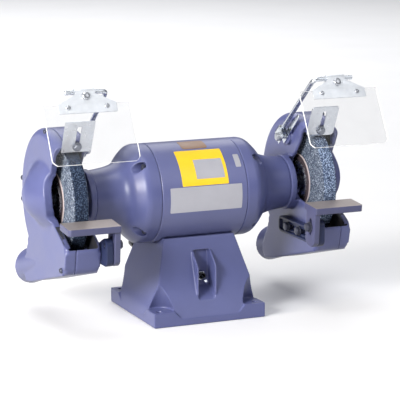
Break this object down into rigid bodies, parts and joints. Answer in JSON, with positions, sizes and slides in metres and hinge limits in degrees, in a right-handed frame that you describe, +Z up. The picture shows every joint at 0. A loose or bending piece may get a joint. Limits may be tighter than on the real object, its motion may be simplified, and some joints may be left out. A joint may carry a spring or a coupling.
{
  "type": "bench grinder",
  "caption": "Double-ended bench grinder on a cast pedestal, with exhaust wheel guards, tool rests, spark guards and jointed eye shields.",
  "frame": {"origin": "centre of the pedestal's underside, on the bench", "axes": "+X along the shaft to the operator's right, +Y away from the operator, +Z up"},
  "size_m": [0.6026, 0.3249, 0.415],
  "materials": {
    "enamel": "glossy sprayed enamel over sand-cast and pressed metal",
    "enamel_dark": "sprayed enamel",
    "zinc": "bright zinc plating",
    "steel": "machined steel",
    "dark_steel": "blackened steel fasteners",
    "abrasive": "coarse grey vitrified grit",
    "laminations": "stacked electrical steel",
    "copper": "varnished copper wire",
    "black_plastic": "moulded",
    "ground_iron": "painted casting with a ground top",
    "clear_plastic": "clear sheet with polished edges",
    "bearing_steel": "ground bearing steel"
  },
  "bodies": {
    "frame": {"pedestal_base": "enamel", "base_cover_plate": "steel", "cord_gland": "black_plastic", "start_capacitor": "black_plastic", "switch_body": "black_plastic", "switch_nut": "zinc", "motor_housing": "enamel", "right_end_bell": "enamel", "left_end_bell": "enamel", "stator_core": "laminations", "right_stator_winding": "copper", "left_stator_winding": "copper", "through_bolt_1": "dark_steel", "through_bolt_2": "dark_steel", "through_bolt_3": "dark_steel", "through_bolt_4": "dark_steel", "right_bearing": "bearing_steel", "left_bearing": "bearing_steel", "right_guard_housing": "enamel", "left_guard_housing": "enamel", "right_guard_cover": "enamel", "left_guard_cover": "enamel", "right_spark_guard_screw": "steel", "left_spark_guard_screw": "steel", "right_bracket_bolt_1": "dark_steel", "left_bracket_bolt_1": "dark_steel", "right_bracket_bolt_2": "dark_steel", "left_bracket_bolt_2": "dark_steel", "right_clamp_bolt": "steel", "left_clamp_bolt": "steel"},
    "spindle": {"spindle_shaft": "steel", "rotor": "laminations", "right_wheel": "abrasive", "left_wheel": "abrasive", "right_inner_flange": "zinc", "left_inner_flange": "zinc", "right_outer_flange": "zinc", "left_outer_flange": "zinc", "right_spindle_nut": "zinc", "left_spindle_nut": "zinc"},
    "switch_lever": {"toggle_lever": "zinc"},
    "left_rest_bracket": {"left_rest_bracket": "enamel_dark"},
    "left_rest_bolt": {"left_rest_bolt": "dark_steel"},
    "left_tool_rest": {"left_tool_rest": "ground_iron"},
    "left_spark_guard": {"left_spark_guard": "zinc"},
    "left_rod_clamp": {"left_rod_clamp": "zinc"},
    "left_shield_rod": {"left_shield_rod": "zinc"},
    "left_eye_shield": {"left_eye_shield": "clear_plastic", "left_shield_bracket": "zinc", "left_shield_bolt": "steel"},
    "right_rest_bracket": {"right_rest_bracket": "enamel_dark"},
    "right_rest_bolt": {"right_rest_bolt": "dark_steel"},
    "right_tool_rest": {"right_tool_rest": "ground_iron"},
    "right_spark_guard": {"right_spark_guard": "zinc"},
    "right_rod_clamp": {"right_rod_clamp": "zinc"},
    "right_shield_rod": {"right_shield_rod": "zinc"},
    "right_eye_shield": {"right_eye_shield": "clear_plastic", "right_shield_bracket": "zinc", "right_shield_bolt": "steel"}
  },
  "joints": [
    {"name": "spindle_spin", "type": "hinge", "parent": "frame", "child": "spindle", "pos_m": [0, 0, 0.2133], "axis": [1, 0, 0], "continuous": true},
    {"name": "switch_toggle", "type": "hinge", "parent": "frame", "child": "switch_lever", "pos_m": [0, -0.0635, 0.0745], "axis": [1, 0, 0], "range_deg": [-30, 0]},
    {"name": "left_bracket_slide", "type": "slide", "parent": "frame", "child": "left_rest_bracket", "axis": [0, 1, 0], "range_m": [-0.012, 0.003]},
    {"name": "left_rest_tilt", "type": "hinge", "parent": "left_rest_bracket", "child": "left_rest_bolt", "pos_m": [-0.187, -0.127, 0.156], "axis": [1, 0, 0], "range_deg": [-6, 25]},
    {"name": "left_rest_height", "type": "slide", "parent": "left_rest_bolt", "child": "left_tool_rest", "axis": [0, -0.0779, 0.997], "range_m": [-0.008, 0.008]},
    {"name": "left_spark_guard_slide", "type": "slide", "parent": "frame", "child": "left_spark_guard", "axis": [0, 0.4259, -0.9048], "range_m": [-0.003, 0.005]},
    {"name": "left_arm_swing", "type": "hinge", "parent": "frame", "child": "left_rod_clamp", "pos_m": [-0.188, 0.00584, 0.29413], "axis": [1, 0, 0], "range_deg": [-35, 6]},
    {"name": "left_rod_slide", "type": "slide", "parent": "left_rod_clamp", "child": "left_shield_rod", "axis": [0, 0.7674, -0.6412], "range_m": [-0.012, 0.012]},
    {"name": "left_shield_tilt", "type": "hinge", "parent": "left_shield_rod", "child": "left_eye_shield", "pos_m": [-0.227, -0.1145, 0.409], "axis": [1, 0, 0], "range_deg": [-60, 18]},
    {"name": "right_bracket_slide", "type": "slide", "parent": "frame", "child": "right_rest_bracket", "axis": [0, 1, 0], "range_m": [-0.012, 0.003]},
    {"name": "right_rest_tilt", "type": "hinge", "parent": "right_rest_bracket", "child": "right_rest_bolt", "pos_m": [0.187, -0.127, 0.156], "axis": [1, 0, 0], "range_deg": [-6, 25]},
    {"name": "right_rest_height", "type": "slide", "parent": "right_rest_bolt", "child": "right_tool_rest", "axis": [0, -0.0779, 0.997], "range_m": [-0.008, 0.008]},
    {"name": "right_spark_guard_slide", "type": "slide", "parent": "frame", "child": "right_spark_guard", "axis": [0, 0.4259, -0.9048], "range_m": [-0.003, 0.005]},
    {"name": "right_arm_swing", "type": "hinge", "parent": "frame", "child": "right_rod_clamp", "pos_m": [0.188, 0.00584, 0.29413], "axis": [1, 0, 0], "range_deg": [-35, 6]},
    {"name": "right_rod_slide", "type": "slide", "parent": "right_rod_clamp", "child": "right_shield_rod", "axis": [0, 0.7674, -0.6412], "range_m": [-0.012, 0.012]},
    {"name": "right_shield_tilt", "type": "hinge", "parent": "right_shield_rod", "child": "right_eye_shield", "pos_m": [0.227, -0.1145, 0.409], "axis": [1, 0, 0], "range_deg": [-60, 18]}
  ]
}
